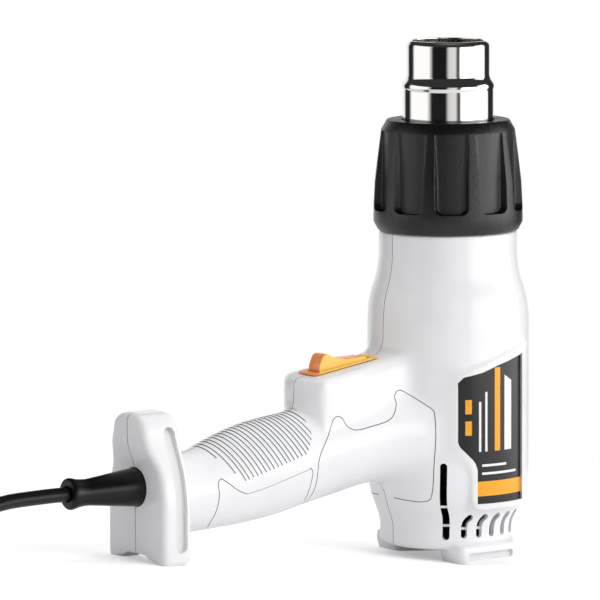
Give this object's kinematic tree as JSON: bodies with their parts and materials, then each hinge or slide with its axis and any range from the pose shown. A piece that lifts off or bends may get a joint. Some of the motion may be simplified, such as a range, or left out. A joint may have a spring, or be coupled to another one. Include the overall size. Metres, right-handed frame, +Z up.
{
  "type": "hot air tool",
  "caption": "Corded hot air tool standing on its rear end: white clamshell casing, black fluted collar, stepped steel outlet, amber rocker switch and a coiled cord with a plug.",
  "frame": {"origin": "centre of the tool's bounding box, at the height of the table that it stands on, measured without the cord, its sleeve, its coil and its plug", "axes": "+Z is up, +X runs from the grip to the barrel, and -Y is the labelled side; the barrel leans 5 degrees towards the grip"},
  "size_m": [0.3783, 0.1067, 0.2192],
  "materials": {
    "white_abs": "glossy white moulded plastic",
    "black_nylon": "satin black heat resistant plastic",
    "polished_steel": "polished steel tube",
    "amber_plastic": "translucent amber plastic",
    "inner_plastic": "dark moulded plastic inside the casing",
    "rubber": "soft black rubber",
    "zinc_steel": "zinc plated steel",
    "ceramic": "off-white heater ceramic",
    "mica": "pale brown mica sheet",
    "resistance_wire": "dull heating wire",
    "board": "green circuit board",
    "brown_lead": "brown wire insulation",
    "blue_lead": "blue wire insulation",
    "label_film": "printed label film"
  },
  "bodies": {
    "housing": {"housing_left": "white_abs", "housing_right": "white_abs", "outlet_nozzle": "polished_steel", "outlet_guard": "zinc_steel", "mica_tube": "mica", "heater_base": "ceramic", "heater_former": "mica", "heater_coil": "resistance_wire", "thermal_cutout": "zinc_steel", "motor": "zinc_steel", "motor_mount": "inner_plastic", "rectifier_board": "board", "strain_relief": "rubber", "cord_tail": "rubber", "cord_clamp": "inner_plastic", "side_label": "label_film", "switch_bezel": "amber_plastic", "switch_body": "black_nylon", "housing_screw_1": "zinc_steel", "housing_screw_2": "zinc_steel", "housing_screw_3": "zinc_steel", "housing_screw_4": "zinc_steel", "housing_screw_5": "zinc_steel", "housing_screw_6": "zinc_steel", "housing_screw_7": "zinc_steel", "housing_screw_8": "zinc_steel", "clamp_screw_1": "zinc_steel", "clamp_screw_2": "zinc_steel", "live_lead": "brown_lead", "neutral_lead": "blue_lead", "heater_lead": "brown_lead", "cord": "rubber", "cord_coil": "rubber", "plug_body": "rubber", "plug_pin_1": "zinc_steel", "plug_pin_2": "zinc_steel"},
    "rotor": {"motor_shaft": "zinc_steel", "fan": "inner_plastic"},
    "rocker": {"switch_rocker": "amber_plastic"},
    "collar": {"nozzle_collar": "black_nylon"}
  },
  "joints": [
    {"name": "fan_spin", "type": "hinge", "parent": "housing", "child": "rotor", "pos_m": [0.06819, 0, 0], "axis": [-0.0872, 0, 0.9962], "continuous": true},
    {"name": "rocker_tilt", "type": "hinge", "parent": "housing", "child": "rocker", "pos_m": [0.00461, 0, 0.07786], "axis": [0, -1, 0], "range_deg": [0, 20]},
    {"name": "collar_turn", "type": "hinge", "parent": "housing", "child": "collar", "pos_m": [0.06819, 0, 0], "axis": [-0.0872, 0, 0.9962], "range_deg": [0, 25]}
  ]
}
